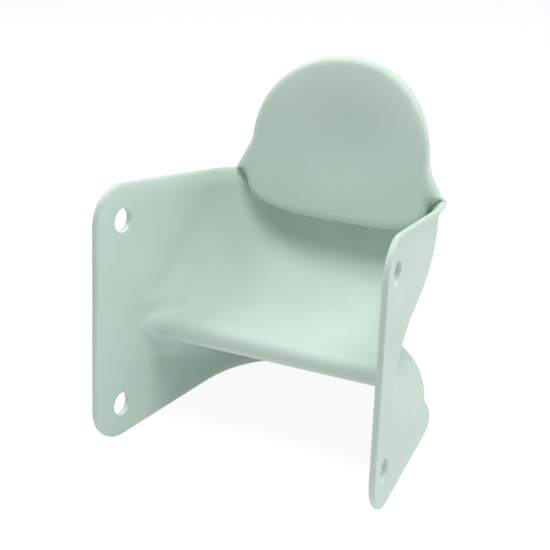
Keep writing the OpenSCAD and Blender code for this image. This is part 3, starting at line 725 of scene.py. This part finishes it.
def moulded_polypropylene(name, colour, shade, tint):
    """Polypropylene moulded against an etched steel tool: coloured through, a satin gloss with an
    even fine grain, and a very slight cloudiness where the melt flowed."""
    material, tree = new_material(name)
    place = add_node(tree, "ShaderNodeTexCoord")
    # cloudiness some 90 mm wide
    cloud = add_node(tree, "ShaderNodeTexNoise", {"Scale": 11.0, "Detail": 2.0, "Roughness": 0.5},
                     {"Vector": place.outputs["Object"]})
    cloud_share = add_node(tree, "ShaderNodeMapRange", {"From Min": 0.35, "From Max": 0.65},
                           {"Value": cloud.outputs["Fac"]})
    # the tool's grain is some 0.3 mm wide; it is drawn 0.9 mm wide, or it wouldn't show
    grain = add_node(tree, "ShaderNodeTexNoise", {"Scale": 1100.0, "Detail": 2.0, "Roughness": 0.6},
                     {"Vector": place.outputs["Object"]})
    broad = add_node(tree, "ShaderNodeMix", {"data_type": "RGBA", 6: linear(shade), 7: linear(colour)},
                     {0: cloud_share.outputs["Result"]})
    speck = add_node(tree, "ShaderNodeMapRange", {"From Min": 0.62, "From Max": 0.78, "To Max": 0.10},
                     {"Value": grain.outputs["Fac"]})
    base = add_node(tree, "ShaderNodeMix", {"data_type": "RGBA", 7: linear(tint)},
                    {0: speck.outputs["Result"], 6: broad.outputs[2]})
    rough = add_node(tree, "ShaderNodeMapRange",
                     {"From Min": 0.3, "From Max": 0.7, "To Min": 0.50, "To Max": 0.60},
                     {"Value": grain.outputs["Fac"]})
    bump = add_node(tree, "ShaderNodeBump", {"Strength": 0.10, "Distance": 0.0002},
                    {"Height": grain.outputs["Fac"]})
    shader = add_node(tree, "ShaderNodeBsdfPrincipled", {"IOR": 1.49, "Specular IOR Level": 0.6},
                      {"Base Color": base.outputs[2], "Roughness": rough.outputs["Result"],
                       "Normal": bump.outputs["Normal"]})
    add_node(tree, "ShaderNodeOutputMaterial", None, {"Surface": shader.outputs["BSDF"]})
    return material


def zinc_plated_steel(name):
    """Steel screws with bright zinc plating: grey, a little cloudy, half polished."""
    material, tree = new_material(name)
    place = add_node(tree, "ShaderNodeTexCoord")
    cloud = add_node(tree, "ShaderNodeTexNoise", {"Scale": 900.0, "Detail": 4.0},
                     {"Vector": place.outputs["Object"]})
    base = add_node(tree, "ShaderNodeMix", {"data_type": "RGBA", 6: linear("#a9adb0"), 7: linear("#c6c9cb")},
                    {0: cloud.outputs["Fac"]})
    rough = add_node(tree, "ShaderNodeMapRange", {"To Min": 0.25, "To Max": 0.42},
                     {"Value": cloud.outputs["Fac"]})
    shader = add_node(tree, "ShaderNodeBsdfPrincipled", {"Metallic": 1.0},
                      {"Base Color": base.outputs[2], "Roughness": rough.outputs["Result"]})
    add_node(tree, "ShaderNodeOutputMaterial", None, {"Surface": shader.outputs["BSDF"]})
    return material


sage_plastic = moulded_polypropylene("moulded_polypropylene_sage", "#c7d9cf", "#c3d6cb", "#b5cbbf")
cover_plastic = moulded_polypropylene("moulded_polypropylene_cover", "#c3d6cb", "#bfd2c7", "#b1c7bb")
zinc = zinc_plated_steel("zinc_plated_steel")

# Pieces

points, faces = shell_mesh()
make_piece("seat_shell", points, faces, sage_plastic, "chair", "shell")

points, faces = join_meshes(backrest_front_mesh(), *[boss_mesh(p) for p in SCREW_PLACES])
make_piece("backrest_front_moulding", place_backrest(points), faces, sage_plastic, "backrest",
           "backrest_front", sharp=50)

points, faces = join_meshes(cover_mesh(), saddle_mesh())
make_piece("backrest_rear_cover", place_backrest(points), faces, cover_plastic, "backrest",
           "backrest_cover", sharp=50)

points, faces = join_meshes(*[screw_mesh(p) for p in SCREW_PLACES])
make_piece("cover_screws", place_backrest(points), faces, zinc, "backrest", "backrest_screws",
           sharp=50)

# Floor, light and camera

def floor_material():
    """White floor. Seen directly it is mostly its own white, so that only a faint shadow shows. To
    the object it is a pale matt floor that gives a little light from below."""
    material, tree = new_material("white_studio_floor")
    ray_kind = add_node(tree, "ShaderNodeLightPath")
    seen = add_node(tree, "ShaderNodeMath", {"operation": "MAXIMUM"},
                    {0: ray_kind.outputs["Is Camera Ray"], 1: ray_kind.outputs["Is Glossy Ray"]})
    matt = add_node(tree, "ShaderNodeBsdfDiffuse", {"Color": (0.85, 0.85, 0.85, 1)})
    lift = add_node(tree, "ShaderNodeEmission", {"Color": (1, 1, 1, 1), "Strength": 0.2})
    lit = add_node(tree, "ShaderNodeAddShader", None, {0: matt.outputs["BSDF"], 1: lift.outputs["Emission"]})
    faint = add_node(tree, "ShaderNodeBsdfDiffuse", {"Color": (0.16, 0.16, 0.16, 1)})
    glow = add_node(tree, "ShaderNodeEmission", {"Color": (1, 1, 1, 1), "Strength": 0.90})
    white = add_node(tree, "ShaderNodeAddShader", None,
                     {0: faint.outputs["BSDF"], 1: glow.outputs["Emission"]})
    both = add_node(tree, "ShaderNodeMixShader", None,
                    {0: seen.outputs["Value"], 1: lit.outputs["Shader"], 2: white.outputs["Shader"]})
    add_node(tree, "ShaderNodeOutputMaterial", None, {"Surface": both.outputs["Shader"]})
    return material


floor_mesh = bpy.data.meshes.new("studio_floor")
floor_mesh.from_pydata([(-9, -9, 0), (9, -9, 0), (9, 9, 0), (-9, 9, 0)], [], [(0, 1, 2, 3)])
floor_mesh.materials.append(floor_material())
floor = bpy.data.objects.new("studio_floor", floor_mesh)
bpy.context.scene.collection.objects.link(floor)

world = bpy.data.worlds.new("studio")
bpy.context.scene.world = world
world.use_nodes = True
world.node_tree.nodes.clear()
ray_kind = add_node(world.node_tree, "ShaderNodeLightPath")
seen = add_node(world.node_tree, "ShaderNodeMath", {"operation": "MAXIMUM"},
                {0: ray_kind.outputs["Is Camera Ray"], 1: ray_kind.outputs["Is Transmission Ray"]})
strength = add_node(world.node_tree, "ShaderNodeMapRange", {"To Min": 0.25, "To Max": 1.0},
                    {"Value": seen.outputs["Value"]})
sky = add_node(world.node_tree, "ShaderNodeBackground", {"Color": (1, 1, 1, 1)},
               {"Strength": strength.outputs["Result"]})
add_node(world.node_tree, "ShaderNodeOutputWorld", None, {"Surface": sky.outputs["Background"]})


def put_in_scene(item, right, up, away, place):
    """A lamp or camera at a place, its x, y and z axes along right, up and away from what it faces."""
    matrix = np.eye(4)
    matrix[:3, 0], matrix[:3, 1], matrix[:3, 2], matrix[:3, 3] = right, up, away, place
    item.matrix_world = Matrix(matrix.tolist())
    bpy.context.scene.collection.objects.link(item)


def soft_lamp(name, place, size, power):
    """A square area lamp in metres and watts at a place, turned to the lamps' common aim point."""
    data = bpy.data.lights.new(name, "AREA")
    data.shape = "SQUARE"
    data.size = size
    data.energy = power
    away = np.array(place, float) - np.array(LAMP_AIM, float)
    away /= np.linalg.norm(away)
    right = np.cross((0, 0, 1), away)
    right /= np.linalg.norm(right)
    put_in_scene(bpy.data.objects.new(name, data), right, np.cross(away, right), away, place)


LAMP_AIM = (0, 0, 0.2)
soft_lamp("top_left_softbox", (-1.3, 0.1, 2.0), 1.4, 29.0)
soft_lamp("top_right_softbox", (0.7, -0.3, 2.3), 1.2, 29.5)
soft_lamp("rear_right_softbox", (1.8, 1.4, 1.4), 1.2, 20.0)

# Camera at the photograph's angle: place, length and shift follow from the object's outline in it
CAM_AZ, CAM_EL, CAM_ROLL = (math.radians(v) for v in (27.474, 23.134, -0.164))
CAM_TARGET = np.array([0.00510, -0.06964, 0.23795])
CAM_DISTANCE, CAM_PX, CAM_CENTRE, FRAME_PX = 1.82500, 1430.0, (278.780, 275.572), 550.0
SENSOR_MM = 36.0
back = np.array([math.sin(CAM_AZ) * math.cos(CAM_EL), -math.cos(CAM_AZ) * math.cos(CAM_EL), math.sin(CAM_EL)])
right = np.array([math.cos(CAM_AZ), math.sin(CAM_AZ), 0.0])
up = np.cross(back, right)
turned_right = math.cos(CAM_ROLL) * right + math.sin(CAM_ROLL) * up
turned_up = math.cos(CAM_ROLL) * up - math.sin(CAM_ROLL) * right
camera_data = bpy.data.cameras.new("photo_camera")
camera_data.sensor_width = SENSOR_MM
camera_data.lens = CAM_PX / FRAME_PX * SENSOR_MM
camera_data.shift_x = (FRAME_PX / 2 - CAM_CENTRE[0]) / FRAME_PX
camera_data.shift_y = (CAM_CENTRE[1] - FRAME_PX / 2) / FRAME_PX
camera = bpy.data.objects.new("photo_camera", camera_data)
put_in_scene(camera, turned_right, turned_up, back, CAM_TARGET + CAM_DISTANCE * back)
bpy.context.scene.camera = camera
bpy.context.scene.view_settings.view_transform = "Standard"
